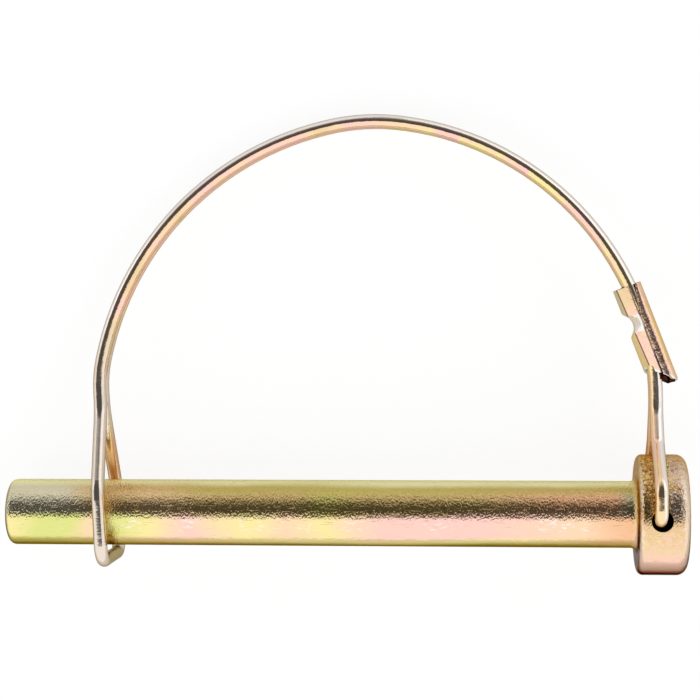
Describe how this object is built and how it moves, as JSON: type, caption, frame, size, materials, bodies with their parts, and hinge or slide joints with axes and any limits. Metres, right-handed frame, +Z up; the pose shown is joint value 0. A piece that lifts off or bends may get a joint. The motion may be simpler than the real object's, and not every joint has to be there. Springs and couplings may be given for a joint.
{
  "type": "wire lock pin",
  "caption": "Headed steel lynch pin whose sprung wire bow hangs in the head's cross bore and loops round the shank near the tip to lock it in its hole.",
  "frame": {"origin": "on the floor, under the middle of the part's outline", "axes": "+X runs along the pin from the tip to the head, +Y across the floor from the pin to the crown of the bow, +Z up. The part lies on its side on three points of its lower run of wire: a leg beside the head, the loop and the arch, so the pin's axis rises 2.4 degrees towards the head."},
  "size_m": [0.1028, 0.0687, 0.0224],
  "materials": {
    "plated_pin": "yellow-passivated zinc plating, satin, with a faint iridescence",
    "plated_wire": "yellow-passivated zinc plating on drawn spring wire, bright",
    "plated_sheet": "yellow-passivated zinc plating on folded sheet, bright"
  },
  "bodies": {
    "pin": {"pin": "plated_pin"},
    "bow": {"wire_bow": "plated_wire", "clip": "plated_sheet"}
  },
  "joints": [
    {"name": "bow_swing", "type": "hinge", "parent": "pin", "child": "bow", "pos_m": [0.04694, -0.02524, 0.01157], "axis": [0.0412, -0.1279, -0.9909], "range_deg": [0, 240], "deforming": ["wire_bow"]}
  ]
}
